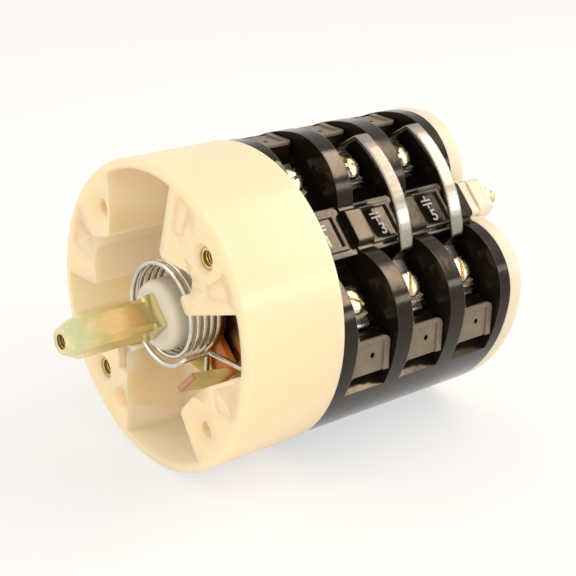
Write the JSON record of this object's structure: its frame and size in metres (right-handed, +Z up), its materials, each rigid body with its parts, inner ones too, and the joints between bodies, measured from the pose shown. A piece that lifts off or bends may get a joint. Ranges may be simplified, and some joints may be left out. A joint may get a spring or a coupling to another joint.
{
  "type": "rotary cam switch for motor control with spring return",
  "caption": "Rotary cam motor switch: ivory front housing with square shaft and return spring, stacked black contact stages, cream rear plate.",
  "frame": {"origin": "centre of the front mounting face, on the shaft axis", "axes": "+Y along the shaft axis from the front mounting face to the rear plate, +Z up, +X to the right seen from the operating end"},
  "size_m": [0.086, 0.1373, 0.086],
  "materials": {
    "ivory_nylon": "satin",
    "grey_nylon": "satin",
    "black_phenolic": "gloss",
    "yellow_zinc": "satin",
    "zinc_steel": "satin",
    "nickel_strip": "gloss",
    "spring_steel": "satin",
    "brass": "satin"
  },
  "bodies": {
    "base": {"front_housing": "ivory_nylon", "mount_inserts": "brass", "stop_plate": "yellow_zinc", "return_spring": "spring_steel", "stage_1": "black_phenolic", "stage_2": "black_phenolic", "stage_3": "black_phenolic", "terminals_1": "nickel_strip", "terminals_2": "nickel_strip", "terminals_3": "nickel_strip", "bridges": "nickel_strip", "plungers": "grey_nylon", "bridge_springs": "spring_steel", "clamp_washers": "zinc_steel", "terminal_screws": "zinc_steel", "strap_2": "nickel_strip", "strap_3": "nickel_strip", "end_cover": "black_phenolic", "rear_plate": "ivory_nylon", "tie_rods": "zinc_steel", "tie_washers": "yellow_zinc", "tie_nuts": "yellow_zinc"},
    "rotor": {"shaft": "yellow_zinc", "shaft_hub": "grey_nylon", "shaft_bush": "black_phenolic", "return_lever": "yellow_zinc", "cam_1": "grey_nylon", "cam_2": "grey_nylon", "cam_3": "grey_nylon"}
  },
  "joints": [
    {"name": "shaft_turn", "type": "hinge", "parent": "base", "child": "rotor", "pos_m": [0, 0, 0], "axis": [0, 1, 0], "range_deg": [-45, 45], "stiffness_Nm_per_rad": 0.1, "deforming": ["return_spring"]}
  ]
}
